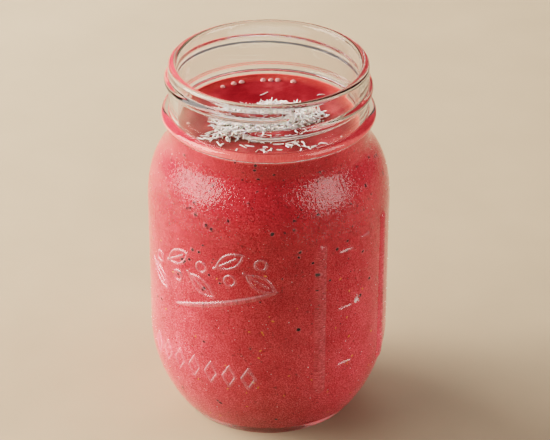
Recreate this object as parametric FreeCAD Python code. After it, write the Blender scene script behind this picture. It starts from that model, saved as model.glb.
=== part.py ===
import FreeCAD, Part
import math
import os

# A screw-top glass jar filled with a thick berry smoothie, with a loose heap of fine coconut
# shreds on top. Millimetres, +Z up. The origin is at the middle of the flat ring that the jar
# rests on. The front of the jar faces -Y, and its two panels of measuring marks face +X and -X.

# ---- Jar: overall sizes ----
jar_height = 128.5
body_radius = 40.9
body_wall = 3.2

# ---- Jar: base and heel ----
foot_radius = 28.7          # outer edge of the flat ring under the jar
foot_width = 3.2            # width of that ring
push_up = 2.6               # rise of the hollow under the base
base_thickness = 4.6        # glass over the flat ring
floor_crown = 2.0           # rise of the inner floor towards its middle
floor_inset = 3.4           # inner floor edge, inside the foot's outer edge
heel_height = 29.9
heel_foot_tension = 0.11    # handle lengths of the heel's curve, as shares of its run and rise
heel_side_tension = 0.54

# ---- Jar: shoulder ----
shoulder_height = 25.7
shoulder_body_tension = 0.77
shoulder_neck_tension = 0.26
shoulder_wall_drop = 1.5    # how much lower the inner shoulder lies than the outer one

# ---- Jar: neck, bead and lip ----
neck_height = 25.0          # from the end of the shoulder to the rim
neck_radius = 33.7
finish_radius = 33.1        # outside of the threaded part
bore_radius = 30.2
bead_section_radius = 1.62
bead_reach = 35.64          # outermost radius of the bead
bead_drop = 18.0            # from the rim to the middle of the bead

# ---- Jar: screw thread ----
thread_pitch = 6.35
thread_height = 1.3
thread_width = 3.4
thread_drop = 10.6          # from the rim down to the middle of the thread's lower end
thread_start_deg = -59.5
thread_turn_deg = 385.5
thread_runout_deg = 12.0

# ---- Jar: raised marks ----
mark_height = 0.45
rib_height = 0.9
rib_width = 4.5
rib_length = 58.0
rib_drop = 48.4             # from the rim to the top of a rib
rib_half_spacing_deg = 22.0
panel_directions_deg = (0.0, 180.0)
tick_width = 1.1
tick_length = 6.2
tick_spacing = 21.9
tick_count = 3
tick_offset_deg = -8.3      # long ticks stand left of the panel's middle, the short one right of it
top_tick_drop = 53.1        # from the rim to the highest long tick
short_tick_length = 4.6
short_tick_offset_deg = 4.2
short_tick_rise = 2.2       # above the highest long tick

# ---- Jar: plain leaf spray and beading on the front ----
swash_start_deg = -95.5
swash_turn_deg = 53.8
swash_drop = 76.3           # from the rim to the swash's lower end
swash_rise = 12.6
swash_width = 2.6
swash_runout_deg = 22.0
spray_start_deg = -108.0
spray_turn_deg = 58.0
spray_drop = 65.0
spray_rise = 9.0
spray_leaf_pairs = 5
leaf_length = 11.0
leaf_width = 4.8
leaf_spread = 4.8           # height of a leaf's middle above or below the spray's line
leaf_tilt_deg = 33.0
berry_radius = 1.9
beading_start_deg = -112.0
beading_turn_deg = 56.0
beading_drop = 98.2
beading_count = 7
lozenge_length = 8.0
lozenge_width = 4.6

# ---- Contents ----
headspace = 20.1            # from the rim down to the drink's surface
fill_clearance = 0.05       # between the drink and the glass
heap_turn_deg = 55.5        # direction of the heap's long side
heap_half_width = 17.8
heap_half_depth = 12.0
heap_shift = -3.0           # from the jar's axis, along the heap's depth
heap_side_shift = -2.2      # from the jar's axis, along the heap's width
heap_height = 3.4
heap_levels = (0.0, 0.35, 0.7, 0.92)
heap_outline_points = 20
heap_unevenness = 0.12
heap_lobes = ((3, 1.0, 0.6), (5, 0.6, 2.1))   # lobes round the outline, their strength, their start

# ---- Places worked out from the sizes ----
shoulder_end = jar_height - neck_height
shoulder_start = shoulder_end - shoulder_height
lip_radius = (finish_radius - bore_radius) / 2
bead_radius = bead_reach - bead_section_radius
bead_z = jar_height - bead_drop
fill_level = jar_height - headspace
inner_foot_radius = foot_radius - floor_inset
full_turn = 360.0
seam_deg = -32.0            # a direction with no raised marks on it
ridge_step_deg = 7.0
ridge_root_depth = 0.9      # how deep the foot of a ridge or mark is buried in the glass
runout_burial = 0.25        # how far the tips of a ridge dive below the surface
runout_width_share = 0.4    # width of a ridge's tip, as a share of its full width
pad_reach = 3.0             # half the radial length of the prism that a raised mark is cut from
upright_deg = 90.0

Z_AXIS = FreeCAD.Vector(0, 0, 1)
ORIGIN = FreeCAD.Vector(0, 0, 0)


def at(radius, height):
    """A point of a profile in the XZ half-plane."""
    return FreeCAD.Vector(radius, 0, height)


def around(radius, angle_deg, height):
    """A point at a radius, direction and height about the jar's axis."""
    angle = math.radians(angle_deg)
    return FreeCAD.Vector(radius * math.cos(angle), radius * math.sin(angle), height)


def line(start, end):
    return Part.makeLine(start, end)


def curve(*poles):
    """A Bezier curve, whose end tangents follow its first and last legs."""
    bezier = Part.BezierCurve()
    bezier.setPoles(list(poles))
    return bezier.toShape()


def arc(start, middle, end):
    return Part.Arc(start, middle, end).toShape()


def crown_arc(edge_radius, edge_z, rise):
    """The arc of a shallow dome, from its edge to its top on the axis."""
    sphere = (edge_radius ** 2 + rise ** 2) / (2 * rise)
    middle_radius = edge_radius / 2
    middle_z = edge_z + rise - sphere + math.sqrt(sphere ** 2 - middle_radius ** 2)
    return arc(at(edge_radius, edge_z), at(middle_radius, middle_z), at(0, edge_z + rise))


def revolved(edges):
    """A solid of revolution, in two half turns that meet on clear stretches of the glass."""
    profile = Part.Face(Part.Wire(Part.__sortEdges__(edges)))
    halves = []
    for start_deg in (seam_deg, seam_deg + full_turn / 2):
        half = profile.copy()
        half.rotate(ORIGIN, Z_AXIS, start_deg)
        halves.append(half.revolve(ORIGIN, Z_AXIS, full_turn / 2))
    return halves[0].fuse(halves[1:])


def body_outline(grow):
    """The heel, side and shoulder of the jar's outside, moved outwards by grow."""
    side = body_radius + grow
    foot = foot_radius + grow
    neck = neck_radius + grow
    heel = curve(at(foot, 0), at(foot + heel_foot_tension * (side - foot), 0),
                 at(side, heel_height * (1 - heel_side_tension)), at(side, heel_height))
    shoulder = curve(at(side, shoulder_start),
                     at(side, shoulder_start + shoulder_body_tension * shoulder_height),
                     at(neck, shoulder_end - shoulder_neck_tension * shoulder_height),
                     at(neck, shoulder_end))
    return [heel, line(at(side, heel_height), at(side, shoulder_start)), shoulder]


def bead_edges():
    """The neck above the shoulder, the round bead, and the step in to the threaded part."""
    lower_z = bead_z - math.sqrt(bead_section_radius ** 2 - (neck_radius - bead_radius) ** 2)
    upper_z = bead_z + math.sqrt(bead_section_radius ** 2 - (finish_radius - bead_radius) ** 2)
    return [line(at(neck_radius, shoulder_end), at(neck_radius, lower_z)),
            arc(at(neck_radius, lower_z), at(bead_reach, bead_z), at(finish_radius, upper_z)),
            line(at(finish_radius, upper_z), at(finish_radius, jar_height - lip_radius))]


def lip_edges():
    """The fully rounded lip."""
    lip_z = jar_height - lip_radius
    return [arc(at(finish_radius, lip_z), at(finish_radius - lip_radius, jar_height),
                at(bore_radius, lip_z))]


def cavity_outline(gap, top_z):
    """The inside of the jar from the middle of its floor up to top_z, moved inwards by gap."""
    side = body_radius - body_wall - gap
    bore = bore_radius - gap
    floor_edge = inner_foot_radius - gap
    floor_z = base_thickness + gap
    shoulder_low = shoulder_start - shoulder_wall_drop
    shoulder_high = shoulder_end - shoulder_wall_drop
    heel_rise = heel_height - floor_z
    heel = curve(at(floor_edge, floor_z),
                 at(floor_edge + heel_foot_tension * (side - floor_edge), floor_z),
                 at(side, heel_height - heel_side_tension * heel_rise), at(side, heel_height))
    shoulder = curve(at(side, shoulder_low),
                     at(side, shoulder_low + shoulder_body_tension * shoulder_height),
                     at(bore, shoulder_high - shoulder_neck_tension * shoulder_height),
                     at(bore, shoulder_high))
    return [crown_arc(floor_edge, floor_z, floor_crown), heel,
            line(at(side, heel_height), at(side, shoulder_low)), shoulder,
            line(at(bore, shoulder_high), at(bore, top_z))]


def blown_glass():
    """The plain jar: a solid of revolution with a hollow base, a bead and a rounded lip."""
    ring_inner = foot_radius - foot_width
    underside = [crown_arc(ring_inner, 0, push_up), line(at(ring_inner, 0), at(foot_radius, 0))]
    axis = [line(at(0, push_up), at(0, base_thickness + floor_crown))]
    return revolved(underside + body_outline(0) + bead_edges() + lip_edges()
                    + cavity_outline(0, jar_height - lip_radius) + axis)


def ridge(base_radius, height, width, start_deg, turn_deg, start_z, rise, runout_deg):
    """A rounded ridge that climbs round the glass and sinks into it at both ends."""
    sections = []
    steps = math.ceil(turn_deg / ridge_step_deg)
    root = base_radius - ridge_root_depth
    for step in range(steps + 1):
        turned = turn_deg * step / steps
        from_tip = min(turned, turn_deg - turned)
        share = min(1.0, from_tip / runout_deg)
        swell = math.sin(share * math.pi / 2)
        crest = base_radius - runout_burial + (height + runout_burial) * swell
        half = width / 2 * (runout_width_share + (1 - runout_width_share) * swell)
        angle = start_deg + turned
        z = start_z + rise * turned / turn_deg
        low = around(root, angle, z - half)
        high = around(root, angle, z + half)
        sections.append(Part.Wire([arc(low, around(crest, angle, z), high), line(high, low)]))
    return Part.makeLoft(sections, True, False)


def facing(direction_deg, radius, z, tilt_deg=0.0):
    """The placement that stands a flat outline on the glass, facing outwards."""
    angle = math.radians(direction_deg)
    along = FreeCAD.Vector(-math.sin(angle), math.cos(angle), 0)
    outwards = FreeCAD.Vector(math.cos(angle), math.sin(angle), 0)
    upright = FreeCAD.Rotation(along, Z_AXIS, outwards, "ZXY")
    tilt = FreeCAD.Rotation(Z_AXIS, tilt_deg)
    return FreeCAD.Placement(around(radius, direction_deg, z), upright.multiply(tilt))


def raised_mark(outline, direction_deg, z, skin, tilt_deg=0.0):
    """The part of an outline's outward prism that lies inside a skin round the glass."""
    face = Part.Face(outline)
    face.Placement = facing(direction_deg, body_radius - ridge_root_depth - pad_reach / 2, z, tilt_deg)
    outwards = around(2 * pad_reach, direction_deg, 0)
    return face.extrude(outwards).common(skin)


def slot_outline(length, width):
    """A bar with round ends, lying along local X."""
    half = width / 2
    reach = length / 2 - half
    corner = FreeCAD.Vector
    return Part.Wire([line(corner(-reach, -half, 0), corner(reach, -half, 0)),
                      arc(corner(reach, -half, 0), corner(reach + half, 0, 0), corner(reach, half, 0)),
                      line(corner(reach, half, 0), corner(-reach, half, 0)),
                      arc(corner(-reach, half, 0), corner(-reach - half, 0, 0),
                          corner(-reach, -half, 0))])


def leaf_outline(length, width):
    """Two arcs that meet in points, lying along local X."""
    left = FreeCAD.Vector(-length / 2, 0, 0)
    right = FreeCAD.Vector(length / 2, 0, 0)
    return Part.Wire([arc(left, FreeCAD.Vector(0, width / 2, 0), right),
                      arc(right, FreeCAD.Vector(0, -width / 2, 0), left)])


def round_outline(radius):
    return Part.Wire([Part.makeCircle(radius)])


def lozenge_outline(length, width):
    corners = [FreeCAD.Vector(-length / 2, 0, 0), FreeCAD.Vector(0, -width / 2, 0),
               FreeCAD.Vector(length / 2, 0, 0), FreeCAD.Vector(0, width / 2, 0)]
    return Part.makePolygon(corners + corners[:1])


def outer_skin(height):
    """A solid out to the jar's outside plus height, from the foot to the end of the shoulder."""
    closing = [line(at(0, 0), at(foot_radius + height, 0)),
               line(at(neck_radius + height, shoulder_end), at(0, shoulder_end)),
               line(at(0, shoulder_end), at(0, 0))]
    return revolved(body_outline(height) + closing)


def measuring_panel(direction_deg, mark_skin, rib_skin):
    """Two upright ribs and the ticks between them."""
    rib_z = jar_height - rib_drop - rib_length / 2
    top_tick_z = jar_height - top_tick_drop
    marks = []
    for side in (-1, 1):
        rib_direction = direction_deg + side * rib_half_spacing_deg
        marks.append(raised_mark(slot_outline(rib_length, rib_width), rib_direction, rib_z,
                                 rib_skin, upright_deg))
    for index in range(tick_count):
        marks.append(raised_mark(slot_outline(tick_length, tick_width), direction_deg + tick_offset_deg,
                                 top_tick_z - index * tick_spacing, mark_skin))
    marks.append(raised_mark(slot_outline(short_tick_length, tick_width),
                             direction_deg + short_tick_offset_deg,
                             top_tick_z + short_tick_rise, mark_skin))
    return marks


def leaf_spray(mark_skin):
    """Pairs of leaves along a rising line, with a berry between one pair and the next."""
    marks = []
    for index in range(spray_leaf_pairs):
        share = index / (spray_leaf_pairs - 1)
        direction = spray_start_deg + spray_turn_deg * share
        z = jar_height - spray_drop + spray_rise * share
        side = 1 if index % 2 else -1
        marks.append(raised_mark(leaf_outline(leaf_length, leaf_width), direction,
                                 z + side * leaf_spread, mark_skin, side * leaf_tilt_deg))
        marks.append(raised_mark(round_outline(berry_radius), direction,
                                 z - side * leaf_spread / 2, mark_skin))
    return marks


def beading(mark_skin):
    """A row of small lozenges low on the front."""
    marks = []
    for index in range(beading_count):
        direction = beading_start_deg + beading_turn_deg * index / (beading_count - 1)
        marks.append(raised_mark(lozenge_outline(lozenge_width, lozenge_length), direction,
                                 jar_height - beading_drop, mark_skin))
    return marks


def swash():
    """The tapered bar that rises under the leaf spray."""
    return ridge(body_radius, mark_height, swash_width, swash_start_deg, swash_turn_deg,
                 jar_height - swash_drop, swash_rise, swash_runout_deg)


def screw_thread():
    """One turn and a little more of rounded thread."""
    rise = thread_pitch * thread_turn_deg / full_turn
    return ridge(finish_radius, thread_height, thread_width, thread_start_deg, thread_turn_deg,
                 jar_height - thread_drop, rise, thread_runout_deg)


def jar():
    mark_skin = outer_skin(mark_height)
    rib_skin = outer_skin(rib_height)
    raised = [screw_thread(), swash()]
    for direction in panel_directions_deg:
        raised += measuring_panel(direction, mark_skin, rib_skin)
    raised += leaf_spray(mark_skin) + beading(mark_skin)
    return blown_glass().fuse(raised)


def smoothie():
    """The drink, which fills the jar up to its level surface."""
    closing = [line(at(bore_radius - fill_clearance, fill_level), at(0, fill_level)),
               line(at(0, fill_level), at(0, base_thickness + fill_clearance + floor_crown))]
    return revolved(cavity_outline(fill_clearance, fill_level) + closing)


def heap_ring(level):
    """The heap's uneven outline at a share of its height, as one closed smooth curve."""
    turn = FreeCAD.Rotation(Z_AXIS, heap_turn_deg)
    size = math.sqrt(1 - level ** 2)
    points = []
    for index in range(heap_outline_points):
        angle = 2 * math.pi * index / heap_outline_points
        lobes = 1 + heap_unevenness * sum(strength * math.sin(count * angle + start)
                                          for count, strength, start in heap_lobes)
        local = FreeCAD.Vector(heap_half_width * size * lobes * math.cos(angle) + heap_side_shift,
                               heap_half_depth * size * lobes * math.sin(angle) + heap_shift,
                               fill_level + heap_height * level)
        points.append(turn.multVec(local))
    spline = Part.BSplineCurve()
    spline.interpolate(points, PeriodicFlag=True)
    return Part.Wire([spline.toShape()])


def coconut_heap():
    """The heap of shreds, out to its uneven outline, lying on the drink's surface."""
    return Part.makeLoft([heap_ring(level) for level in heap_levels], True, False)


def main():
    os.makedirs("parts", exist_ok=True)
    nodes = {"jar": jar(), "smoothie": smoothie(), "coconut_heap": coconut_heap()}
    for name, shape in nodes.items():
        print(name, shape.ShapeType, "solids", len(shape.Solids), "valid", shape.isValid(),
              "volume", round(shape.Volume, 1))
        shape.exportStep("parts/" + name + ".step")


main()
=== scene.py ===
import math

import bpy
import numpy as np
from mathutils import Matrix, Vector


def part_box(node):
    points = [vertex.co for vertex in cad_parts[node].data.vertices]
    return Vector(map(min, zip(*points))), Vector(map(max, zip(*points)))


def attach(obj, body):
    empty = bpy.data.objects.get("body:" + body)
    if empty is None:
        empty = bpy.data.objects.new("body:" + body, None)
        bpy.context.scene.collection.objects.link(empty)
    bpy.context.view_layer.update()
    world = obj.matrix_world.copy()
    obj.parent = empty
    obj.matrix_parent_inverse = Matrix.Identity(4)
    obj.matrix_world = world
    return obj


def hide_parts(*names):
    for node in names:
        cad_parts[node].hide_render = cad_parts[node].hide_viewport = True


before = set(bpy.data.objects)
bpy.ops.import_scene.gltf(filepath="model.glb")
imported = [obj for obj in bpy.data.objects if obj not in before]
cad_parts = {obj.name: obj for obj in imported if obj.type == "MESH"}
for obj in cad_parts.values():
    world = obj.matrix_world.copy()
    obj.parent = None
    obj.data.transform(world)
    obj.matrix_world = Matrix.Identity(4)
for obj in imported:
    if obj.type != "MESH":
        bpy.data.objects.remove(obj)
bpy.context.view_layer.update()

MM = 0.001
RNG = np.random.default_rng(20591)

# ---- Places taken from the frame ----
RIM_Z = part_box("jar")[1][2]
FILL_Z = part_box("smoothie")[1][2]
HEAP_LOW, HEAP_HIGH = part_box("coconut_heap")
HEAP_HEIGHT = HEAP_HIGH[2] - HEAP_LOW[2]

# ---- The jar's section, as in the CAD model (metres) ----
BODY_R = 40.89 * MM
BODY_WALL = 3.2 * MM
FOOT_R = 28.7 * MM
FOOT_WIDTH = 3.2 * MM
PUSH_UP = 2.6 * MM
BASE_THICKNESS = 4.6 * MM
FLOOR_CROWN = 2.0 * MM
FLOOR_INSET = 3.4 * MM
HEEL_Z = 29.9 * MM
HEEL_FOOT_TENSION = 0.11
HEEL_SIDE_TENSION = 0.54
SHOULDER_HEIGHT = 25.7 * MM
SHOULDER_BODY_TENSION = 0.77
SHOULDER_NECK_TENSION = 0.26
SHOULDER_WALL_DROP = 1.5 * MM
NECK_R = 33.7 * MM
FINISH_R = 33.1 * MM
BORE_R = 30.2 * MM
BEAD_SECTION_R = 1.62 * MM
BEAD_REACH = 35.64 * MM
BEAD_Z = RIM_Z - 18.0 * MM
SHOULDER_END = RIM_Z - 25.0 * MM
SHOULDER_START = SHOULDER_END - SHOULDER_HEIGHT
LIP_R = (FINISH_R - BORE_R) / 2
LIP_Z = RIM_Z - LIP_R

# ---- Raised marks on the jar ----
THREAD = dict(start=-59.5, turn=385.5, z=RIM_Z - 10.6 * MM, pitch=6.35 * MM, height=1.3 * MM,
              half=1.7 * MM, runout=12.0)
RIB_HEIGHT = 0.85 * MM
RIB_HALF_WIDTH = 2.1 * MM
RIB_TOP = RIM_Z - 48.4 * MM
RIB_LENGTH = 58.0 * MM
RIB_HALF_SPACING = 22.0
PANELS = (0.0, 180.0)
TICK_TOP = RIM_Z - 53.1 * MM
TICK_SPACING = 21.9 * MM
LONG_TICKS = 3
LONG_TICK_OFFSET = -8.3     # degrees from the panel's middle
LONG_TICK_REACH = 5.1 * MM / 2
SHORT_TICK_OFFSET = 4.2
SHORT_TICK_REACH = 3.5 * MM / 2
SHORT_TICK_RISE = 2.2 * MM
MARK_HEIGHT = 0.42 * MM
SWASH = dict(start=-95.5, turn=53.8, z=RIM_Z - 76.3 * MM, rise=12.6 * MM)
SPRAY = dict(start=-108.0, turn=58.0, z=RIM_Z - 65.0 * MM, rise=9.0 * MM, pairs=5)
LEAF_LENGTH = 11.0 * MM
LEAF_WIDTH = 4.8 * MM
LEAF_SPREAD = 4.8 * MM
LEAF_TILT = 33.0
BERRY_R = 1.9 * MM
BEADING = dict(start=-112.0, turn=56.0, z=RIM_Z - 98.2 * MM, count=7)
LOZENGE = (4.6 * MM, 8.0 * MM)
STROKE_HALF = 0.55 * MM
STROKE_REACH = 7.5 * MM     # how far a leaf, berry or lozenge goes from its middle
COLUMNS_PER_DEGREE = 4
BLOCK = 8               # grid steps across one plain cell of the jar's skin
RIB_STEP = 1            # grid steps across one cell of a rib
STROKE_ZONE = (HEEL_Z - 4.4 * MM, SHOULDER_START + 1.8 * MM)

# ---- The camera's direction ----
VIEW_AZIMUTH = 43.5
VIEW_ELEVATION = 30.12
VIEW_DISTANCE = 755.4 * MM
VIEW_TARGET_Z = 68.3 * MM
VIEW_LENS = 145.1
VIEW_SHIFT = 0.0113
LIGHT_DISTANCE = 1.6
WARM_LIGHT = (1.0, 0.90, 0.84)

# ---- The coconut heap, as in the CAD model ----
HEAP_TURN = 55.5
HEAP_HALF_WIDTH = 17.8 * MM
HEAP_HALF_DEPTH = 12.0 * MM
HEAP_SHIFT = -3.0 * MM
HEAP_SIDE_SHIFT = -2.2 * MM

# ---- The coconut shreds, on a lower core ----
HEAP_CROWN = 0.75 * HEAP_HEIGHT
CORE_COLUMNS = 72
CORE_ROWS = 16
CORE_SHARE = 0.86       # of the heap's outline
SHREDS_PER_SHAPE = 420
# Loose shreds: the middle of each group across and back from the camera's view, its spread, its count.
LOOSE_SHREDS = ((-1.8, 16.5, 0.3, 0.3, 1), (17.5, 16.0, 0.3, 0.3, 1), (-17.5, -13.0, 3.2, 3.0, 34),
                (11.0, -19.5, 3.5, 1.8, 20), (-4.0, -21.5, 6.0, 1.5, 12), (-15.0, 0.0, 3.0, 5.0, 10))

# ---- Froth bubbles: turns from the far side of the surface, and half widths ----
BUBBLE_TURNS = (-35.6, -26.4, -20.2, -4.1, 1.6, 6.6, 18.3, 60, -60, 120, -100, 160)
BUBBLE_HALVES = (0.9, 1.05, 1.05, 1.05, 1.0, 1.1, 1.05, 0.4, 0.6, 0.5, 0.7, 0.6)
BUBBLE_INSET = 3.4 * MM

# ---- Water on the outside ----
DROPS_ALL_OVER = 500
DROPS_ON_SHOULDER = 9000
WET_SIDES = (-42.0, 29.0)        # directions from the camera's own
WET_SPREAD = 17                  # degrees
# Body drops stay off this direction and this far to each side of it, where they would pass the CAD box.
DRY_DIRECTION, DRY_SPREAD = 90.0, 14
WATER_SPOT = (45.3, 54.2 * MM)   # direction from the camera's own, height
SPOT_SPREAD = 0.6 * MM
SPECKS_IN_SPOT = 90


# ================= Curves and meshes =================

def bezier(poles, count=400):
    """Points along a cubic curve with four poles."""
    t = np.linspace(0, 1, count)[:, None]
    p0, p1, p2, p3 = (np.array(pole, float) for pole in poles)
    return (1 - t) ** 3 * p0 + 3 * (1 - t) ** 2 * t * p1 + 3 * (1 - t) * t ** 2 * p2 + t ** 3 * p3


def arc(centre, radius, start_deg, end_deg, count=200):
    """Points along part of a circle."""
    angle = np.radians(np.linspace(start_deg, end_deg, count))
    return np.stack([centre[0] + radius * np.cos(angle), centre[1] + radius * np.sin(angle)], 1)


def straight(start, end):
    """A run with only its two ends."""
    return np.array([start, end], float)


def dome(edge_r, edge_z, rise, count=60):
    """A shallow dome's section, from its edge to the axis."""
    sphere = (edge_r ** 2 + rise ** 2) / (2 * rise)
    r = np.linspace(edge_r, 0, count)
    return np.stack([r, edge_z + rise - sphere + np.sqrt(sphere ** 2 - r ** 2)], 1)


def spaced(points, step):
    """The same line with points about step apart."""
    lengths = np.concatenate([[0], np.cumsum(np.linalg.norm(np.diff(points, axis=0), axis=1))])
    count = max(2, int(math.ceil(lengths[-1] / step)) + 1)
    at = np.linspace(0, lengths[-1], count)
    return np.stack([np.interp(at, lengths, points[:, i]) for i in range(2)], 1)


def joined(*runs):
    """Runs end to end, with each shared point kept once."""
    return np.concatenate([runs[0]] + [run[1:] for run in runs[1:]])


def heel_and_shoulder(side, foot, foot_z, neck, drop):
    """The heel's and the shoulder's curve for the outside or the inside of the glass."""
    low = SHOULDER_START - drop
    high = SHOULDER_END - drop
    heel = bezier([(foot, foot_z), (foot + HEEL_FOOT_TENSION * (side - foot), foot_z),
                   (side, HEEL_Z - HEEL_SIDE_TENSION * (HEEL_Z - foot_z)), (side, HEEL_Z)])
    shoulder = bezier([(side, low), (side, low + SHOULDER_BODY_TENSION * SHOULDER_HEIGHT),
                       (neck, high - SHOULDER_NECK_TENSION * SHOULDER_HEIGHT), (neck, high)])
    return heel, shoulder


def outside_section():
    """The jar's outside from the middle of its base to the lip."""
    heel, shoulder = heel_and_shoulder(BODY_R, FOOT_R, 0.0, NECK_R, 0.0)
    bead_r = BEAD_REACH - BEAD_SECTION_R
    low = -math.degrees(math.acos((NECK_R - bead_r) / BEAD_SECTION_R))
    high = math.degrees(math.acos((FINISH_R - bead_r) / BEAD_SECTION_R))
    bead = arc((bead_r, BEAD_Z), BEAD_SECTION_R, low, high)
    ring = FOOT_R - FOOT_WIDTH
    fine_from = int(np.searchsorted(heel[:, 1], STROKE_ZONE[0]))
    fine_to = int(np.searchsorted(shoulder[:, 1], STROKE_ZONE[1]))
    return joined(spaced(dome(ring, 0.0, PUSH_UP)[::-1], 2.5 * MM),
                  spaced(straight((ring, 0.0), (FOOT_R, 0.0)), 0.8 * MM),
                  spaced(heel[:fine_from + 1], 1.1 * MM),
                  spaced(joined(heel[fine_from:], shoulder[:fine_to + 1]), 0.18 * MM),
                  spaced(shoulder[fine_to:], 0.8 * MM),
                  spaced(straight(shoulder[-1], bead[0]), 0.5 * MM),
                  spaced(bead, 0.25 * MM),
                  spaced(straight(bead[-1], (FINISH_R, LIP_Z)), 0.3 * MM))


def inside_section(grow=0.0):
    """The jar's inside from the lip to the middle of its floor, moved into the glass by grow."""
    side = BODY_R - BODY_WALL + grow
    bore = BORE_R + grow
    floor = FOOT_R - FLOOR_INSET + grow
    floor_z = BASE_THICKNESS - grow
    heel, shoulder = heel_and_shoulder(side, floor, floor_z, bore, SHOULDER_WALL_DROP)
    return joined(spaced(straight((bore, LIP_Z), shoulder[-1]), 1.2 * MM),
                  spaced(shoulder[::-1], 1.0 * MM),
                  spaced(straight(shoulder[0], heel[-1]), 3.0 * MM),
                  spaced(heel[::-1], 1.2 * MM),
                  spaced(dome(floor, floor_z, FLOOR_CROWN), 3.0 * MM))


def mesh_object(name, points, face_groups, material=None):
    """A smooth mesh from points and groups of faces, each group with one number of corners."""
    mesh = bpy.data.meshes.new(name)
    groups = [np.asarray(group, dtype=np.int32) for group in face_groups]
    sizes = np.concatenate([np.full(len(group), group.shape[1]) for group in groups])
    corners = np.concatenate([group.ravel() for group in groups])
    mesh.vertices.add(len(points))
    mesh.vertices.foreach_set("co", np.asarray(points, dtype=np.float32).ravel())
    mesh.loops.add(len(corners))
    mesh.loops.foreach_set("vertex_index", corners)
    mesh.polygons.add(len(sizes))
    mesh.polygons.foreach_set("loop_start", np.concatenate([[0], np.cumsum(sizes)[:-1]]))
    mesh.update(calc_edges=True)
    mesh.validate()
    mesh.shade_smooth()
    piece = bpy.data.objects.new(name, mesh)
    bpy.context.scene.collection.objects.link(piece)
    if material:
        mesh.materials.append(material)
    return piece


def turned_faces(rows, columns):
    """Quads of a grid of rows that closes round its columns."""
    row, column = np.meshgrid(np.arange(rows - 1), np.arange(columns), indexing="ij")
    following = (column + 1) % columns
    quads = np.stack([row * columns + column, row * columns + following,
                      (row + 1) * columns + following, (row + 1) * columns + column], -1)
    return quads.reshape(-1, 4)


def fan(centre, ring, flip):
    """Triangles from a centre point to a closed ring of points."""
    following = np.roll(ring, -1)
    first, second = (following, ring) if flip else (ring, following)
    return np.stack([np.full(len(ring), centre), first, second], 1)


def turn_about_axis(name, section, angles_deg, material, shift):
    """A closed solid turned about the axis, where its section starts and ends; shift reshapes it."""
    ring = section[1:-1]
    angles = np.radians(angles_deg)
    r = np.repeat(ring[:, 0][:, None], len(angles), 1)
    z = np.repeat(ring[:, 1][:, None], len(angles), 1)
    r, z = shift(r, z, angles_deg)
    points = np.stack([r * np.cos(angles), r * np.sin(angles), z], -1).reshape(-1, 3)
    rows, columns = r.shape
    first = rows * columns
    points = np.concatenate([points, [[0, 0, section[0, 1]], [0, 0, section[-1, 1]]]])
    triangles = np.concatenate([fan(first, np.arange(columns), True),
                                fan(first + 1, np.arange(columns) + (rows - 1) * columns, False)])
    return mesh_object(name, points, [turned_faces(rows, columns), triangles], material)


def copies(name, template, places, material):
    """One mesh of many copies of a template: places are (origins, 3x3 axes in rows)."""
    points, face_groups = template
    origins, axes = places
    count = len(origins)
    placed = np.einsum("pk,nkj->npj", points, axes) + origins[:, None, :]
    offsets = (np.arange(count) * len(points))[:, None, None]
    groups = [(group[None] + offsets).reshape(-1, group.shape[1]) for group in face_groups]
    return mesh_object(name, placed.reshape(-1, 3), groups, material)


def dome_template(sides, rows, sink):
    """A unit half-ball on +Z whose flat underside lies at -sink."""
    lift = np.linspace(0, math.pi / 2, rows + 1)[:-1]
    around = np.linspace(0, 2 * math.pi, sides, endpoint=False)
    rings = [np.stack([np.cos(around), np.sin(around), np.full(sides, -sink)], 1)]
    for index, angle in enumerate(lift):
        turned = around + index * math.pi / sides
        rings.append(np.stack([np.cos(angle) * np.cos(turned), np.cos(angle) * np.sin(turned),
                               np.full(sides, math.sin(angle))], 1))
    points = np.concatenate(rings + [[[0, 0, -sink], [0, 0, 1]]])
    under = len(points) - 2
    triangles = np.concatenate([fan(under, np.arange(sides), True),
                                fan(under + 1, np.arange(sides) + rows * sides, False)])
    return points, [turned_faces(rows + 1, sides), triangles]


def random_turn(normals, along=None):
    """Two directions square to each normal, turned at random or along a given direction."""
    guide = RNG.normal(size=normals.shape) if along is None else along
    first = guide - (guide * normals).sum(1, keepdims=True) * normals
    first /= np.linalg.norm(first, axis=1, keepdims=True)
    return first, np.cross(normals, first)


def flat_places(origins, normals, long_half, wide_half, thick, along=None):
    """Places for templates that lie on a surface, with their own half sizes."""
    first, second = random_turn(normals, along)
    axes = np.stack([first * np.reshape(long_half, (-1, 1)), second * np.reshape(wide_half, (-1, 1)),
                     normals * np.reshape(thick, (-1, 1))], 1)
    return origins, axes


# ================= Relief of the glass =================

def swell(distance, half, power=1.3):
    """A rounded ridge's height share at a distance from its middle line."""
    share = np.clip(1 - (distance / half) ** 2, 0, 1)
    return share ** power


def line_distance(x, y, line):
    """Distance from points to a chain of straight runs."""
    best = np.full(x.shape, 1.0)
    for (ax, ay), (bx, by) in zip(line[:-1], line[1:]):
        dx, dy = bx - ax, by - ay
        t = np.clip(((x - ax) * dx + (y - ay) * dy) / (dx * dx + dy * dy), 0, 1)
        best = np.minimum(best, np.hypot(x - ax - t * dx, y - ay - t * dy))
    return best


def wrapped(angles_deg, middle):
    """Angles as signed turns from a middle direction."""
    return (angles_deg - middle + 180) % 360 - 180


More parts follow.
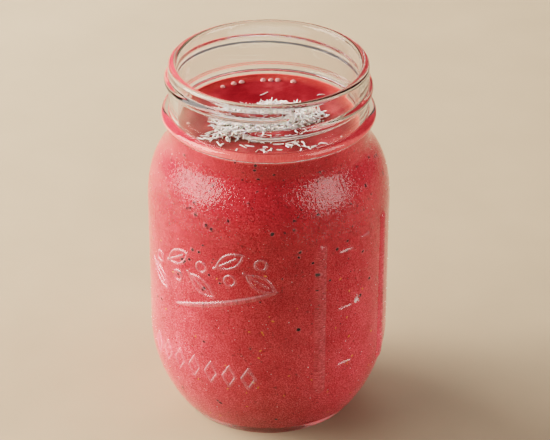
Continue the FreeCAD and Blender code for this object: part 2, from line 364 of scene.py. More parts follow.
def thread_height(angles, z):
    """The screw thread, which passes some directions twice."""
    height = np.zeros(z.shape)
    rise = THREAD["pitch"] / 360
    for lap in (0, 1):
        turned = (angles - THREAD["start"]) % 360 + 360 * lap
        inside = turned <= THREAD["turn"]
        from_tip = np.minimum(turned, THREAD["turn"] - turned)
        run = np.sin(np.clip(from_tip / THREAD["runout"], 0, 1) * math.pi / 2)
        middle = THREAD["z"] + rise * turned
        half = THREAD["half"] * (0.55 + 0.45 * run)
        lap_height = THREAD["height"] * run * swell(z - middle, half, 0.9) * inside
        height = np.maximum(height, lap_height)
    return height


def rib_height(angles, z):
    """The two upright ribs of each panel."""
    height = np.zeros(z.shape)
    middle_z = RIB_TOP - RIB_LENGTH / 2
    reach = RIB_LENGTH / 2 - RIB_HALF_WIDTH
    for panel in PANELS:
        for side in (-1, 1):
            x = BODY_R * np.radians(wrapped(angles, panel + side * RIB_HALF_SPACING))
            y = np.maximum(np.abs(z - middle_z) - reach, 0)
            height = np.maximum(height, RIB_HEIGHT * swell(np.hypot(x, y), RIB_HALF_WIDTH, 0.6))
    return height


def tick_height(angles, z):
    """Each panel's long measuring ticks, and its short one."""
    height = np.zeros(z.shape)
    ticks = [(LONG_TICK_OFFSET, LONG_TICK_REACH, TICK_TOP - index * TICK_SPACING)
             for index in range(LONG_TICKS)]
    ticks.append((SHORT_TICK_OFFSET, SHORT_TICK_REACH, TICK_TOP + SHORT_TICK_RISE))
    for panel in PANELS:
        for offset, reach, tick_z in ticks:
            x = np.maximum(np.abs(BODY_R * np.radians(wrapped(angles, panel + offset))) - reach, 0)
            distance = np.hypot(x, z - tick_z)
            height = np.maximum(height, MARK_HEIGHT * swell(distance, STROKE_HALF, 1.0))
    return height


def swash_height(angles, z):
    """The long rising stroke under the leaves, thin at both ends."""
    turned = wrapped(angles, SWASH["start"] + SWASH["turn"] / 2) + SWASH["turn"] / 2
    share = np.clip(turned / SWASH["turn"], 0, 1)
    middle = SWASH["z"] + SWASH["rise"] * share
    body = np.sin(share * math.pi) ** 0.6
    half = 0.5 * MM + 0.75 * MM * body
    return MARK_HEIGHT * np.minimum(1, 2 * body) * swell(z - middle, half) * (share > 0) * (share < 1)


def leaf_lines(length, width, tilt_deg):
    """A leaf's outline and its midrib."""
    x = np.linspace(-length / 2, length / 2, 12)
    y = width / 2 * (1 - (2 * x / length) ** 2)
    outline = np.concatenate([np.stack([x, y], 1), np.stack([x[::-1], -y[::-1]], 1)[1:]])
    midrib = np.array([[-0.62 * length, 0], [0.25 * length, 0]])
    angle = math.radians(tilt_deg)
    turn = np.array([[math.cos(angle), math.sin(angle)], [-math.sin(angle), math.cos(angle)]])
    return [outline @ turn, midrib @ turn]


def stroke_marks():
    """(direction, height, lines) of each leaf, berry and lozenge."""
    marks = []
    for index in range(SPRAY["pairs"]):
        share = index / (SPRAY["pairs"] - 1)
        direction = SPRAY["start"] + SPRAY["turn"] * share
        z = SPRAY["z"] + SPRAY["rise"] * share
        side = 1 if index % 2 else -1
        marks.append((direction, z + side * LEAF_SPREAD,
                      leaf_lines(LEAF_LENGTH, LEAF_WIDTH, side * LEAF_TILT)))
        circle = arc((0, 0), BERRY_R, 0, 360, 14)
        marks.append((direction, z - side * LEAF_SPREAD / 2, [circle]))
    half_x, half_y = LOZENGE[0] / 2, LOZENGE[1] / 2
    lozenge = np.array([[half_x, 0], [0, half_y], [-half_x, 0], [0, -half_y], [half_x, 0]])
    for index in range(BEADING["count"]):
        direction = BEADING["start"] + BEADING["turn"] * index / (BEADING["count"] - 1)
        marks.append((direction, BEADING["z"], [lozenge]))
    return marks


def stroke_height(angles, z):
    """The leaves, berries and lozenges."""
    height = np.zeros(z.shape)
    for direction, middle_z, lines in stroke_marks():
        x = BODY_R * np.radians(wrapped(angles, direction))
        near = (np.abs(x) < STROKE_REACH) & (np.abs(z - middle_z) < STROKE_REACH)
        if not near.any():
            continue
        for line in lines:
            distance = line_distance(x[near], z[near] - middle_z, line)
            height[near] = np.maximum(height[near], MARK_HEIGHT * swell(distance, STROKE_HALF, 1.0))
    return height


def jar_cells(marked, row_groups):
    """Cells (first row, last row, first column, last column) that tile the jar's grid of points.

    Groups of rows without marks have one cell a block, a block with a rib is cut into columns,
    and a block with fine strokes is cut into single squares."""
    strokes, ribs = marked
    cells = []
    columns = strokes.shape[1]
    for low, high in row_groups:
        for left in range(0, columns, BLOCK):
            right = left + BLOCK
            block = slice(low, high + 1), np.arange(left, right + 1) % columns
            row_step = 1 if strokes[block].any() else high - low
            column_step = 1 if strokes[block].any() else RIB_STEP if ribs[block].any() else BLOCK
            for row in range(low, high, row_step):
                cells += [(row, row + row_step, column, column + column_step)
                          for column in range(left, right, column_step)]
    return np.array(cells)


def cell_faces(cells, rows, columns):
    """Faces of the cells: a wide cell takes in each corner of its neighbours along its sides."""
    top, bottom, left, right = cells.T
    right_wrapped = right % columns
    used = np.zeros((rows, columns), bool)
    for row in (top, bottom):
        for column in (left, right_wrapped):
            used[row, column] = True
    number = -np.ones((rows, columns), int)
    number[used] = np.arange(used.sum())
    single = (bottom - top == 1) & (right - left == 1)
    quads = np.stack([number[top, left], number[top, right_wrapped], number[bottom, right_wrapped],
                      number[bottom, left]], 1)
    by_size = {4: [quads[single]]}
    for r0, r1, c0, c1 in cells[~single]:
        across = np.arange(c0, c1) % columns
        down = np.arange(r0, r1)
        side = np.concatenate([number[r0, across], number[down, c1 % columns],
                               number[r1, (across + 1)[::-1] % columns], number[down[::-1] + 1, c0]])
        side = side[side >= 0]
        by_size.setdefault(len(side), []).append(side[None])
    return used, [np.concatenate(group) for group in by_size.values()]


def jar_piece():
    """The whole jar as one closed skin: fine where it has marks and plain elsewhere."""
    outside = outside_section()
    lip = spaced(arc((FINISH_R - LIP_R, LIP_Z), LIP_R, 0, 180), 0.4 * MM)
    whole = joined(outside, lip, inside_section())
    ring = whole[1:-1]
    columns = 360 * COLUMNS_PER_DEGREE
    angles = np.arange(columns) / COLUMNS_PER_DEGREE
    angles = np.where(angles > 180, angles - 360, angles)
    outer = (np.arange(len(ring)) < len(outside) - 1)[:, None]
    z = np.repeat(ring[:, 1][:, None], columns, 1)
    turned = np.repeat(angles[None, :], len(ring), 0)
    body = outer & (z > HEEL_Z * 0.5) & (z < SHOULDER_END)
    finish = outer & (z > BEAD_Z + BEAD_SECTION_R) & (z <= LIP_Z)
    strokes = np.maximum.reduce([tick_height(turned, z), swash_height(turned, z),
                                 stroke_height(turned, z)]) * body
    ribs = rib_height(turned, z) * body
    r = ring[:, 0][:, None] + np.maximum(strokes, ribs) + thread_height(turned, z) * finish
    low, high = STROKE_ZONE
    in_zone = (ring[:, 1] > low) & (ring[:, 1] < high) & outer[:, 0]
    first, last = np.flatnonzero(in_zone)[[0, -1]]
    edges = list(range(first)) + list(range(first, last, BLOCK)) + list(range(last, len(ring)))
    row_groups = list(zip(edges[:-1], edges[1:]))
    used, faces = cell_faces(jar_cells((strokes > 0, ribs > 0), row_groups), len(ring), columns)
    around = np.radians(turned)
    points = np.stack([r * np.cos(around), r * np.sin(around), z], -1)[used]
    # A white share on the slopes of a stroke, and a little of it on a rib, is painted light: it stands
    # in for the light that the raised glass focuses onto the drink.
    stroke_share, rib_share = strokes / MARK_HEIGHT, ribs / RIB_HEIGHT
    relief = np.maximum(stroke_share * (3.0 - 2.7 * stroke_share), 0.22 * np.sqrt(rib_share))[used]
    coarse = np.arange(0, columns, BLOCK)
    number = -np.ones(used.shape, int)
    number[used] = np.arange(used.sum())
    points = np.concatenate([points, [[0, 0, whole[0, 1]], [0, 0, whole[-1, 1]]]])
    under = len(points) - 2
    faces.append(np.concatenate([fan(under, number[0, coarse], True),
                                 fan(under + 1, number[-1, coarse], False)]))
    piece = mesh_object("jar_glass_shell", points, faces, GLASS)
    layer = piece.data.attributes.new("relief", "FLOAT", "POINT")
    layer.data.foreach_set("value", np.concatenate([relief, [0, 0]]).astype(np.float32))
    return piece


# ================= Materials =================

def new_material(name):
    """A material, its nodes, its links and its Principled shader."""
    material = bpy.data.materials.new(name)
    material.use_nodes = True
    nodes = material.node_tree.nodes
    return material, nodes, material.node_tree.links, nodes["Principled BSDF"]


def noise(nodes, links, scale, detail=3.0, roughness=0.55):
    """Noise over the object's own coordinates."""
    coordinates = nodes.new("ShaderNodeTexCoord")
    texture = nodes.new("ShaderNodeTexNoise")
    texture.inputs["Scale"].default_value = scale
    texture.inputs["Detail"].default_value = detail
    texture.inputs["Roughness"].default_value = roughness
    links.new(coordinates.outputs["Object"], texture.inputs["Vector"])
    return texture


def ramp(nodes, links, value, stops):
    """A colour ramp with (position, colour) stops."""
    node = nodes.new("ShaderNodeValToRGB")
    while len(node.color_ramp.elements) < len(stops):
        node.color_ramp.elements.new(0.5)
    for element, (position, colour) in zip(node.color_ramp.elements, stops):
        element.position = position
        element.color = (*colour, 1)
    links.new(value, node.inputs["Fac"])
    return node.outputs["Color"]


def bump(nodes, links, shader, height, strength, distance):
    """Small relief of the surface, from a height."""
    node = nodes.new("ShaderNodeBump")
    node.inputs["Strength"].default_value = strength
    node.inputs["Distance"].default_value = distance
    links.new(height, node.inputs["Height"])
    links.new(node.outputs["Normal"], shader.inputs["Normal"])


def let_shadows_through(nodes, links, shader):
    """Makes the surface cast only a light shadow, as clear glass and water do."""
    clear = nodes.new("ShaderNodeBsdfTransparent")
    clear.inputs["Color"].default_value = (0.84, 0.84, 0.84, 1)
    path = nodes.new("ShaderNodeLightPath")
    mix = nodes.new("ShaderNodeMixShader")
    links.new(path.outputs["Is Shadow Ray"], mix.inputs["Fac"])
    links.new(shader.outputs["BSDF"], mix.inputs[1])
    links.new(clear.outputs["BSDF"], mix.inputs[2])
    links.new(mix.outputs["Shader"], nodes["Material Output"].inputs["Surface"])


def math_node(nodes, links, operation, *values):
    """One sum over numbers or sockets."""
    node = nodes.new("ShaderNodeMath")
    node.operation = operation
    for value, socket in zip(values, node.inputs):
        if isinstance(value, (int, float)):
            socket.default_value = value
        else:
            links.new(value, socket)
    return node.outputs["Value"]


def colour_mix(nodes, links, kind, factor, first, second):
    """Two colours blended by a number or a socket."""
    mix = nodes.new("ShaderNodeMix")
    mix.data_type = "RGBA"
    mix.blend_type = kind
    if isinstance(factor, (int, float)):
        mix.inputs["Factor"].default_value = factor
    else:
        links.new(factor, mix.inputs["Factor"])
    links.new(first, mix.inputs["A"])
    links.new(second, mix.inputs["B"])
    return mix.outputs["Result"]


def own_place(nodes, links):
    """Sockets for X, Y and Z in the object's own coordinates."""
    coordinates = nodes.new("ShaderNodeTexCoord")
    split = nodes.new("ShaderNodeSeparateXYZ")
    links.new(coordinates.outputs["Object"], split.inputs["Vector"])
    return split.outputs


def span_mask(nodes, links, value, low, high):
    """Nothing below one value and all above another."""
    span = nodes.new("ShaderNodeMapRange")
    span.inputs["From Min"].default_value = low
    span.inputs["From Max"].default_value = high
    links.new(value, span.inputs["Value"])
    return span.outputs["Result"]


def height_mask(nodes, links, low, high):
    """Nothing below one height and all above another."""
    return span_mask(nodes, links, own_place(nodes, links)["Z"], low, high)


def edge_mask(nodes, links, low, high):
    """Nothing inside one radius and all outside another."""
    place = own_place(nodes, links)
    squares = [math_node(nodes, links, "MULTIPLY", place[axis], place[axis]) for axis in "XY"]
    radius = math_node(nodes, links, "SQRT", math_node(nodes, links, "ADD", *squares))
    return span_mask(nodes, links, radius, low, high)


def water_material():
    """Water of the fine drops, a little rough and uneven."""
    material, nodes, links, shader = new_material("water")
    shader.inputs["Base Color"].default_value = (0.98, 0.98, 0.98, 1)
    shader.inputs["Transmission Weight"].default_value = 1.0
    shader.inputs["Roughness"].default_value = 0.4
    shader.inputs["IOR"].default_value = 1.6
    texture = noise(nodes, links, 900.0)
    bump(nodes, links, shader, texture.outputs["Fac"], 0.1, 0.05 * MM)
    let_shadows_through(nodes, links, shader)
    return material


def glass_material():
    """Clear glass, misted with fine water grains below the neck, and whitened along its raised marks as
    painted light for the light they focus.
    """
    material, nodes, links, shader = new_material("jar_glass")
    # The faint warm grey tint is painted reflection and shade: it darkens and warms the rim and neck in
    # place of the red drink and table reflected there.
    shader.inputs["Base Color"].default_value = (0.92, 0.91, 0.905, 1)
    shader.inputs["Roughness"].default_value = 0.0
    shader.inputs["IOR"].default_value = 1.5
    below_neck = math_node(nodes, links, "SUBTRACT", 1.0,
                           height_mask(nodes, links, SHOULDER_END - 1.5 * MM, SHOULDER_END + 1.0 * MM))
    mist = noise(nodes, links, 70.0, 4.0)
    marks = nodes.new("ShaderNodeAttribute")
    marks.attribute_name = "relief"
    share = math_node(nodes, links, "MULTIPLY", mist.outputs["Fac"], 0.005)
    # The marks' share is painted light: it whitens the glass along strokes and ribs in place of the
    # light they focus onto the drink.
    share = math_node(nodes, links, "ADD", share,
                      math_node(nodes, links, "MULTIPLY", marks.outputs["Fac"], 0.115))
    share = math_node(nodes, links, "MULTIPLY", share, below_neck)
    links.new(math_node(nodes, links, "SUBTRACT", 1.0, share), shader.inputs["Transmission Weight"])
    wet = math_node(nodes, links, "MULTIPLY", below_neck,
                    height_mask(nodes, links, SHOULDER_START - 6 * MM, SHOULDER_START + 6 * MM))
    links.new(math_node(nodes, links, "MULTIPLY", wet, 0.05), shader.inputs["Roughness"])
    grains = noise(nodes, links, 1100.0, 1.0, 0.5)
    height = math_node(nodes, links, "MULTIPLY", grains.outputs["Fac"],
                       math_node(nodes, links, "MULTIPLY_ADD", wet, 0.85, 0.15))
    height = math_node(nodes, links, "MULTIPLY", height, below_neck)
    bump(nodes, links, shader, height, 1.0, 0.23 * MM)
    let_shadows_through(nodes, links, shader)
    return material


def smoothie_material(name, wet):
    """Blended berries: pinker and lighter low down and deep red on top, partly as painted light and
    shade, with fine pale froth and darker grains.
    """
    material, nodes, links, shader = new_material(name)
    fine = noise(nodes, links, 2500.0, 3.0, 0.65)
    if wet:
        broad = noise(nodes, links, 75.0, 3.0, 0.55)
        # The top surface's darker colours are partly painted shade: they stand in for the neck's shadow
        # on the surface.
        base = ramp(nodes, links, broad.outputs["Fac"],
                    [(0.36, (0.13, 0.007, 0.010)), (0.52, (0.20, 0.016, 0.019)),
                     (0.68, (0.40, 0.055, 0.055))])
        # The lighter ring by the glass is painted light: it stands in for light falling on the surface's
        # edge.
        edge = ramp(nodes, links, broad.outputs["Fac"],
                    [(0.3, (0.28, 0.027, 0.024)), (0.7, (0.46, 0.064, 0.050))])
        base = colour_mix(nodes, links, "MIX",
                          edge_mask(nodes, links, BORE_R - 4.5 * MM, BORE_R - 0.5 * MM), base, edge)
        grain_share = 0.35
    else:
        broad = noise(nodes, links, 110.0, 5.0, 0.6)
        upper = ramp(nodes, links, broad.outputs["Fac"],
                     [(0.3, (0.35, 0.022, 0.027)), (0.7, (0.48, 0.040, 0.045))])
        # The lower ramp's extra lightness is painted light: it stands in for light bounced up from the
        # table onto the low side.
        lower = ramp(nodes, links, broad.outputs["Fac"],
                     [(0.3, (0.50, 0.050, 0.056)), (0.7, (0.68, 0.085, 0.094))])
        # The pale band at the top of the side is froth and also painted light: it stands in for light
        # that the glass bead focuses onto the drink.
        froth = ramp(nodes, links, broad.outputs["Fac"],
                     [(0.3, (0.70, 0.085, 0.082)), (0.7, (0.88, 0.15, 0.135))])
        body = colour_mix(nodes, links, "MIX", height_mask(nodes, links, 12 * MM, 78 * MM), lower, upper)
        at_top = height_mask(nodes, links, FILL_Z - 1.8 * MM, FILL_Z - 0.9 * MM)
        base = colour_mix(nodes, links, "MIX", at_top, body, froth)
        grain_share = math_node(nodes, links, "MULTIPLY_ADD", at_top, -0.7, 1.0)
    grain = ramp(nodes, links, fine.outputs["Fac"],
                 [(0.36, (0.45, 0.32, 0.35)), (0.50, (0.97, 0.92, 0.95)), (0.64, (1.35, 2.2, 2.1))])
    links.new(colour_mix(nodes, links, "MULTIPLY", grain_share, base, grain),
              shader.inputs["Base Color"])
    shader.inputs["Subsurface Weight"].default_value = 0.15
    shader.inputs["Subsurface Radius"].default_value = (1.0, 0.25, 0.2)
    shader.inputs["Subsurface Scale"].default_value = 0.8 * MM
    shader.inputs["Roughness"].default_value = 0.5 if wet else 0.6
    shader.inputs["Specular IOR Level"].default_value = 0.02 if wet else 0.0
    if wet:
        bump(nodes, links, shader, fine.outputs["Fac"], 0.4, 0.1 * MM)
    return material


def plain_material(name, low, high, scale, roughness, subsurface=0.0):
    """A colour that wanders between two near ones."""
    material, nodes, links, shader = new_material(name)
    texture = noise(nodes, links, scale)
    links.new(ramp(nodes, links, texture.outputs["Fac"], [(0.35, low), (0.65, high)]),
              shader.inputs["Base Color"])
    shader.inputs["Roughness"].default_value = roughness
    shader.inputs["Subsurface Weight"].default_value = subsurface
    shader.inputs["Subsurface Scale"].default_value = 1.0 * MM
    bump(nodes, links, shader, texture.outputs["Fac"], 0.3, 0.05 * MM)
    return material


# ================= Pieces =================

def surface_height(x, y):
    """The drink's soft surface: low waves, and a small rise where it clings to the glass."""
    r = np.hypot(x, y)
    waves = 0.32 * MM * (np.sin(x / (5.2 * MM) + 1.3) * np.cos(y / (6.1 * MM) - 0.4)
                         + 0.6 * np.sin((x + 1.7 * y) / (7.3 * MM) + 2.0))
    cling = 0.9 * MM * np.exp(-(BORE_R - r) / (0.9 * MM))
    settle = 0.5 * MM
    return FILL_Z - settle + waves * np.clip((BORE_R - r) / (4 * MM), 0, 1) + cling


def smoothie_piece():
    """The drink: its side reaches just into the glass, and its top is gently uneven."""
    bite = 0.12 * MM
    section = inside_section(bite)[::-1]
    section = section[section[:, 1] < FILL_Z - 0.5 * MM]
    top_r = np.concatenate([np.linspace(BORE_R + bite, BORE_R - 4 * MM, 18),
                            np.linspace(BORE_R - 4 * MM, 0, 40)[1:]])
    top = np.stack([top_r, np.full(len(top_r), FILL_Z)], 1)
    side_rows = len(section)

    def shape(r, z, angles_deg):
        """Lays the rows of the top on the drink's surface."""
        top_rows = np.arange(len(r)) >= side_rows - 1
        angles = np.radians(angles_deg)[None, :]
        height = surface_height(r * np.cos(angles), r * np.sin(angles))
        return r, np.where(top_rows[:, None], height, z)

    whole = np.concatenate([section, top])
    piece = turn_about_axis("smoothie_fill", whole, np.arange(0, 360, 2.0), SMOOTHIE_SIDE, shape)
    piece.data.materials.append(SMOOTHIE_TOP)
    wet_from = FILL_Z - 1.5 * MM
    for face in piece.data.polygons:
        if face.center.z > wet_from and math.hypot(face.center.x, face.center.y) < BORE_R - 0.05 * MM:
            face.material_index = 1
    return piece


def section_points(section, count, low, high):
    """Random points on a surface of revolution, even over its area, with their normals."""
    inside = section[(section[:, 1] >= low) & (section[:, 1] <= high)]
    steps = np.diff(inside, axis=0)
    lengths = np.hypot(steps[:, 0], steps[:, 1])
    weights = lengths * (inside[:-1, 0] + inside[1:, 0])
    chosen = RNG.choice(len(steps), count, p=weights / weights.sum())
    at = inside[chosen] + steps[chosen] * RNG.random((count, 1))
    angles = RNG.uniform(0, 2 * math.pi, count)
    tangent = steps[chosen] / lengths[chosen][:, None]
    out_r, out_z = np.abs(tangent[:, 1]), -tangent[:, 0] * np.sign(tangent[:, 1])
    points = np.stack([at[:, 0] * np.cos(angles), at[:, 0] * np.sin(angles), at[:, 1]], 1)
    normals = np.stack([out_r * np.cos(angles), out_r * np.sin(angles), out_z], 1)
    return points, normals / np.linalg.norm(normals, axis=1, keepdims=True)


def sized(count, low, high, bias=1.0):
    """Random sizes between two limits, with more small ones for a bias above one."""
    return low + (high - low) * RNG.random(count) ** bias


def pressed_bits(name, places, half, material, stretch=(0.6, 1.0), thick=0.09 * MM, sides=9):
    """Bits of fruit pressed against the glass: low domes that reach a little into the wall."""
    points, normals = places
    count = len(points)
    wide = half * RNG.uniform(*stretch, count)
    placed = flat_places(points, normals, half, wide, np.full(count, thick))
    piece = copies(name, dome_template(sides, 2, 1.0), placed, material)
    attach(piece, "root")


def bit_places(count, top=FILL_Z - 1.0 * MM, bottom=6 * MM):
    """Random places just inside the glass, between two heights."""
    return section_points(inside_section(0.10 * MM)[::-1], count, bottom, top)


def pulp():
    """Dark skins and pits with pale rims, red and pale pulp, orange seeds."""
    low_points, low_normals = bit_places(150)
    high_points, high_normals = bit_places(230, FILL_Z - 1.0 * MM, 62 * MM)
    places = np.concatenate([low_points, high_points]), np.concatenate([low_normals, high_normals])
    half = sized(380, 0.20 * MM, 0.85 * MM, 2.2)
    pressed_bits("pulp_dark", places, half, SKIN, (0.7, 1.0), 0.13 * MM, 12)
    large = half > 0.34 * MM
    points, normals = places
    rimmed = points[large], normals[large]
    pressed_bits("pulp_rims", rimmed, half[large] * 1.4, RIM_PULP, (0.85, 1.0), 0.05 * MM, 12)
    pressed_bits("pulp_red", bit_places(2600), sized(2600, 0.14 * MM, 0.52 * MM, 2.0), RED_PULP,
                 sides=7)
    pressed_bits("pulp_light", bit_places(2600), sized(2600, 0.08 * MM, 0.22 * MM, 1.5), LIGHT_PULP,
                 sides=5)
    pressed_bits("seeds", bit_places(150, 72 * MM), sized(150, 0.32 * MM, 0.62 * MM), SEED, (0.5, 0.7),
                 0.13 * MM)


def heap_reach(angles):
    """The heap's uneven outline, as in the CAD model, at directions from its own middle."""
    return 1 + 0.12 * (np.sin(3 * angles + 0.6) + 0.6 * np.sin(5 * angles + 2.1))


def turned(across, back, turn_deg):
    """Places across and back from a direction, in the row's frame."""
    angle = math.radians(turn_deg)
    x = across * math.cos(angle) - back * math.sin(angle)
    y = across * math.sin(angle) + back * math.cos(angle)
    return x, y


def heap_place(across, back):
    """Turns places along the heap's long and short sides to the row's frame."""
    return turned(across + HEAP_SIDE_SHIFT, back + HEAP_SHIFT, HEAP_TURN)


def heap_core():
    """The solid middle of the heap, hidden under its shreds; its colour shows in the gaps as stain and
    painted shade.
    """
    around = np.linspace(0, 2 * math.pi, CORE_COLUMNS, endpoint=False)
    shares = np.linspace(1, 0, CORE_ROWS)[:-1]
    reach = heap_reach(around) * CORE_SHARE
    rows = []
    for share in shares:
        across = HEAP_HALF_WIDTH * reach * share * np.cos(around)
        back = HEAP_HALF_DEPTH * reach * share * np.sin(around)
        x, y = heap_place(across, back)
        lumps = 0.25 * MM * (np.sin(x / (1.3 * MM)) * np.cos(y / (1.1 * MM)))
        z = FILL_Z - 0.6 * MM + HEAP_CROWN * (1 - share ** 2) ** 0.7 + lumps * (1 - share)
        rows.append(np.stack([x, y, z], 1))
    base = rows[0] - [0, 0, 0.8 * MM]
    ends = [[*heap_place(0, 0), FILL_Z - 1.4 * MM],
            [*heap_place(0, 0), FILL_Z + HEAP_CROWN - 0.6 * MM]]
    points = np.concatenate([base] + rows + [ends])
    under = len(points) - 2
    ring = np.arange(CORE_COLUMNS)
    triangles = np.concatenate([fan(under, ring, True),
                                fan(under + 1, ring + len(shares) * CORE_COLUMNS, False)])
    quads = turned_faces(len(rows) + 1, CORE_COLUMNS)
    return mesh_object("coconut_core", points, [quads, triangles], STAIN_AND_SHADE)


def shred_template(bend, twist):
    """A thin strip with pointed ends, bent in its own plane and out of it; unit length along X."""
    x = np.linspace(-0.5, 0.5, 6)
    width = 0.5 * (1 - (2 * x) ** 4 * 0.75)
    rows = []
    for side, face in ((-1, -1), (1, -1), (1, 1), (-1, 1)):
        y = side * width
        z = face * 0.5 * np.ones(6)
        rows.append(np.stack([x, y, z], 1))
    points = np.stack(rows, 1).reshape(-1, 3)
    points[:, 1] += bend * (points[:, 0] ** 2 * 4 - 0.3)
    points[:, 2] += twist * (points[:, 0] ** 2 * 4 - 0.3)
    caps = np.array([[0, 1, 2, 3], [23, 22, 21, 20]])
    return points, [turned_faces(6, 4), caps]


def shreds(name, origins, tilt, template):
    """Coconut shreds lying at random, tilted up by at most tilt degrees."""
    count = len(origins)
    heading = RNG.uniform(0, 2 * math.pi, count)
    rise = np.radians(RNG.uniform(-tilt, tilt, count) * RNG.random(count) ** 0.5)
    along = np.stack([np.cos(heading) * np.cos(rise), np.sin(heading) * np.cos(rise), np.sin(rise)], 1)
    side, up = random_turn(along)
    axes = np.stack([along * sized(count, 1.8 * MM, 4.0 * MM)[:, None],
                     side * sized(count, 0.34 * MM, 0.62 * MM)[:, None],
                     up * sized(count, 0.18 * MM, 0.32 * MM)[:, None]], 1)
    piece = copies(name, template, (origins, axes), COCONUT)
    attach(piece, "root")
    return piece


def coconut():
    """The heap of shreds over its core, and the loose ones around it."""
    core = heap_core()
    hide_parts("coconut_heap")
    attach(core, "root")
    for index, (bend, twist) in enumerate(((0.25, 0.3), (-0.5, 0.6), (0.9, -0.4))):
        count = SHREDS_PER_SHAPE
        angle = RNG.uniform(0, 2 * math.pi, count)
        share = np.sqrt(RNG.random(count)) * RNG.uniform(0.88, 1.1, count)
        reach = heap_reach(angle) * share
        x, y = heap_place(HEAP_HALF_WIDTH * reach * np.cos(angle),
                          HEAP_HALF_DEPTH * reach * np.sin(angle))
        lift = HEAP_CROWN * np.clip(1 - share ** 2, 0, 1) ** 0.7
        z = FILL_Z - 0.3 * MM + lift + RNG.uniform(0, 0.9 * MM, count)
        shreds(f"coconut_shreds_{index + 1}", np.stack([x, y, z], 1), 50, shred_template(bend, twist))
    places = []
    for across, back, wide, deep, count in LOOSE_SHREDS:
        spread = RNG.normal(size=(count, 2)) * (wide * MM, deep * MM)
        x, y = turned(across * MM + spread[:, 0], back * MM + spread[:, 1], VIEW_AZIMUTH)
        places.append(np.stack([x, y], 1))
    x, y = np.concatenate(places).T
    inside = np.hypot(x, y) < BORE_R - 2.5 * MM
    x, y = x[inside], y[inside]
    z = surface_height(x, y) + 0.12 * MM
    shreds("coconut_loose", np.stack([x, y, z], 1), 14, shred_template(0.4, 0.2))


def froth():
    """Pale bubbles at the far edge of the surface and a few small ones elsewhere."""
    half = np.array(BUBBLE_HALVES) * MM
    angle = np.radians(VIEW_AZIMUTH + 90 - np.array(BUBBLE_TURNS))
    r = BORE_R - BUBBLE_INSET
    x, y = r * np.cos(angle), r * np.sin(angle)
    points = np.stack([x, y, surface_height(x, y)], 1)
    normals = np.repeat([[0.0, 0.0, 1.0]], len(points), 0)
    places = flat_places(points, normals, half, half, half * 0.75)
    piece = copies("froth_bubbles", dome_template(18, 6, 0.4), places, FROTH)
    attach(piece, "root")


def drop_template(sides):
    """A unit drop on +Z, open underneath where it sits on the glass."""
    around = np.linspace(0, 2 * math.pi, sides, endpoint=False)
    rings = [np.stack([reach * np.cos(around + turn), reach * np.sin(around + turn),
                       np.full(sides, z)], 1)
             for reach, z, turn in ((1.0, -0.1, 0.0), (0.7, 0.7, math.pi / sides))]
    points = np.concatenate(rings + [[[0, 0, 1]]])
    return points, [turned_faces(2, sides), fan(2 * sides, np.arange(sides) + sides, False)]


def camera_direction(points):
    """Directions of points round the jar, in degrees from the camera's own."""
    return wrapped(np.degrees(np.arctan2(points[:, 1], points[:, 0])), VIEW_AZIMUTH - 90)


def condensation():
    """Fine water drops on the outside: sparse on the body, thick on two sides of the shoulder."""
    section = outside_section()
    points, normals = section_points(section, DROPS_ALL_OVER, 14 * MM, SHOULDER_END + 5 * MM)
    shoulder_from = SHOULDER_START + 4 * MM
    more, more_normals = section_points(section, DROPS_ON_SHOULDER, shoulder_from, SHOULDER_END)
    direction = camera_direction(more)
    patch = np.maximum.reduce([np.exp(-((direction - middle) / WET_SPREAD) ** 2)
                               for middle in WET_SIDES])
    kept = RNG.random(DROPS_ON_SHOULDER) < patch
    points = np.concatenate([points, more[kept]])
    normals = np.concatenate([normals, more_normals[kept]])
    half = sized(len(points), 0.08 * MM, 0.26 * MM, 1.8)
    turn = np.degrees(np.arctan2(points[:, 1], points[:, 0]))
    dry = np.abs(wrapped(turn, DRY_DIRECTION)) < DRY_SPREAD
    keep = ~dry | (points[:, 2] > shoulder_from)
    places = flat_places(points[keep], normals[keep], half[keep], half[keep], half[keep] * 0.5)
    piece = copies("condensation_drops", drop_template(6), places, WATER)
    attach(piece, "root")
    angle = math.radians(VIEW_AZIMUTH - 90 + WATER_SPOT[0])
    turn = angle + RNG.normal(size=SPECKS_IN_SPOT) * SPOT_SPREAD / BODY_R
    normals = np.stack([np.cos(turn), np.sin(turn), np.zeros(SPECKS_IN_SPOT)], 1)
    height = WATER_SPOT[1] + RNG.normal(size=SPECKS_IN_SPOT) * SPOT_SPREAD
    half = sized(SPECKS_IN_SPOT, 0.10 * MM, 0.24 * MM)
    points = normals * BODY_R + height[:, None] * [0, 0, 1]
    places = flat_places(points, normals, half, half, half * 0.3)
    piece = copies("water_spot", drop_template(6), places, SPOT)
    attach(piece, "root")


def ground():
    """The plain pale floor."""
    piece = mesh_object("table", [(-6, -6, 0), (6, -6, 0), (6, 6, 0), (-6, 6, 0)], [[(0, 1, 2, 3)]])
    material, nodes, links, shader = new_material("table_paint")
    texture = noise(nodes, links, 30.0)
    paint = ramp(nodes, links, texture.outputs["Fac"],
                 [(0.3, (0.228, 0.170, 0.118)), (0.7, (0.243, 0.181, 0.126))])
    links.new(paint, shader.inputs["Base Color"])
    shader.inputs["Roughness"].default_value = 0.7
    piece.data.materials.append(material)


def aim(piece, azimuth, elevation, distance, target_z):
    """Aims a lamp or the camera at the jar's axis, from a direction relative to the camera's own."""
    angle = math.radians(VIEW_AZIMUTH - 90 + azimuth)
    lift = math.radians(elevation)
    away = Vector((math.cos(angle) * math.cos(lift), math.sin(angle) * math.cos(lift), math.sin(lift)))
    piece.location = away * distance + Vector((0, 0, target_z))
    piece.rotation_euler = away.to_track_quat("Z", "Y").to_euler()


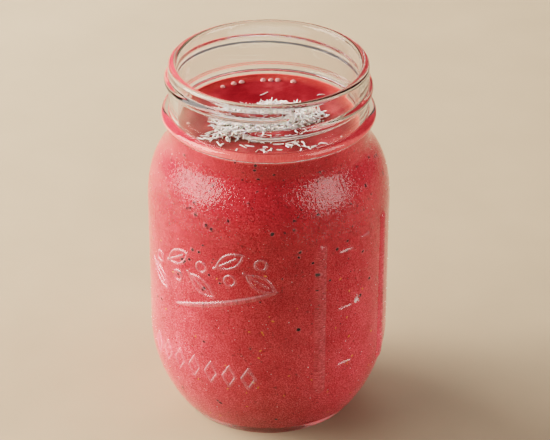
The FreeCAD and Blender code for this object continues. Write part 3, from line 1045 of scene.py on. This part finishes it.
def area_light(name, azimuth, elevation, size, power, colour=(1, 1, 1)):
    """A soft light aimed at the middle of the jar."""
    light = bpy.data.lights.new(name, "AREA")
    light.shape = "RECTANGLE"
    light.size, light.size_y = size
    light.energy = power
    light.color = colour
    lamp = bpy.data.objects.new(name, light)
    bpy.context.scene.collection.objects.link(lamp)
    aim(lamp, azimuth, elevation, LIGHT_DISTANCE, RIM_Z / 2)
    return lamp


def lights():
    """A window light and a glint that make the highlights, fills that don't reflect, and a dim room."""
    area_light("tall_window", -82, 29, (1.5, 1.4), 39, WARM_LIGHT)
    glint = area_light("glint", 63, 30, (1.1, 1.5), 19, WARM_LIGHT)
    glint.visible_diffuse = False
    glint.visible_transmission = False
    near_fill = area_light("near_fill", -112, 14, (1.2, 1.2), 150)
    low_fill = area_light("low_fill", -92, 8, (0.8, 0.8), 20)
    far_fill = area_light("far_fill", -142, 9, (2.0, 0.75), 60)
    back_fill = area_light("back_fill", 180, 35, (1.2, 0.8), 9)
    right_fill = area_light("right_fill", 90, 8, (0.9, 0.8), 34)
    for lamp in (near_fill, low_fill, far_fill, back_fill, right_fill):
        lamp.visible_glossy = False
        lamp.visible_transmission = False
    world = bpy.data.worlds.new("studio")
    world.use_nodes = True
    background = world.node_tree.nodes["Background"]
    background.inputs["Color"].default_value = (1.0, 0.97, 0.93, 1)
    background.inputs["Strength"].default_value = 0.2
    bpy.context.scene.world = world


def camera():
    """The camera, at the photograph's viewing angle."""
    data = bpy.data.cameras.new("camera")
    data.lens = VIEW_LENS
    data.sensor_width = 36.0
    data.shift_x = VIEW_SHIFT
    data.clip_start = 0.01
    data.clip_end = 30
    piece = bpy.data.objects.new("camera", data)
    bpy.context.scene.collection.objects.link(piece)
    aim(piece, 0, VIEW_ELEVATION, VIEW_DISTANCE, VIEW_TARGET_Z)
    bpy.context.scene.camera = piece


GLASS = glass_material()
SMOOTHIE_SIDE = smoothie_material("smoothie_side", False)
SMOOTHIE_TOP = smoothie_material("smoothie_top", True)
COCONUT = plain_material("coconut_flesh", (0.56, 0.51, 0.48), (0.78, 0.73, 0.69), 900.0, 0.6, 0.2)
# The core's dark reddish colour is a smoothie stain and painted shade for the gaps between shreds.
STAIN_AND_SHADE = plain_material("coconut_stain_and_shade", (0.20, 0.05, 0.05), (0.42, 0.24, 0.22), 1400.0, 0.6, 0.2)
RIM_PULP = plain_material("pale_rim", (0.40, 0.045, 0.055), (0.50, 0.085, 0.09), 2500.0, 0.7)
SKIN = plain_material("berry_skin", (0.006, 0.002, 0.004), (0.02, 0.005, 0.008), 2500.0, 0.9)
RED_PULP = plain_material("red_pulp", (0.16, 0.004, 0.008), (0.26, 0.01, 0.014), 2500.0, 0.7)
LIGHT_PULP = plain_material("light_pulp", (0.56, 0.13, 0.12), (0.70, 0.24, 0.22), 2500.0, 0.7)
SEED = plain_material("berry_seed", (0.58, 0.13, 0.015), (0.75, 0.27, 0.04), 2500.0, 0.7)
FROTH = plain_material("froth", (0.42, 0.14, 0.13), (0.60, 0.28, 0.25), 1500.0, 0.25, 0.3)
WATER = water_material()
SPOT = plain_material("dried_spot", (0.42, 0.28, 0.27), (0.60, 0.46, 0.44), 900.0, 0.3)

jar = jar_piece()
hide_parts("jar")
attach(jar, "root")

smoothie = smoothie_piece()
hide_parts("smoothie")
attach(smoothie, "root")

pulp()
coconut()
froth()
condensation()

ground()
lights()
camera()
bpy.context.scene.view_settings.view_transform = "Filmic"
bpy.context.scene.view_settings.look = "High Contrast"
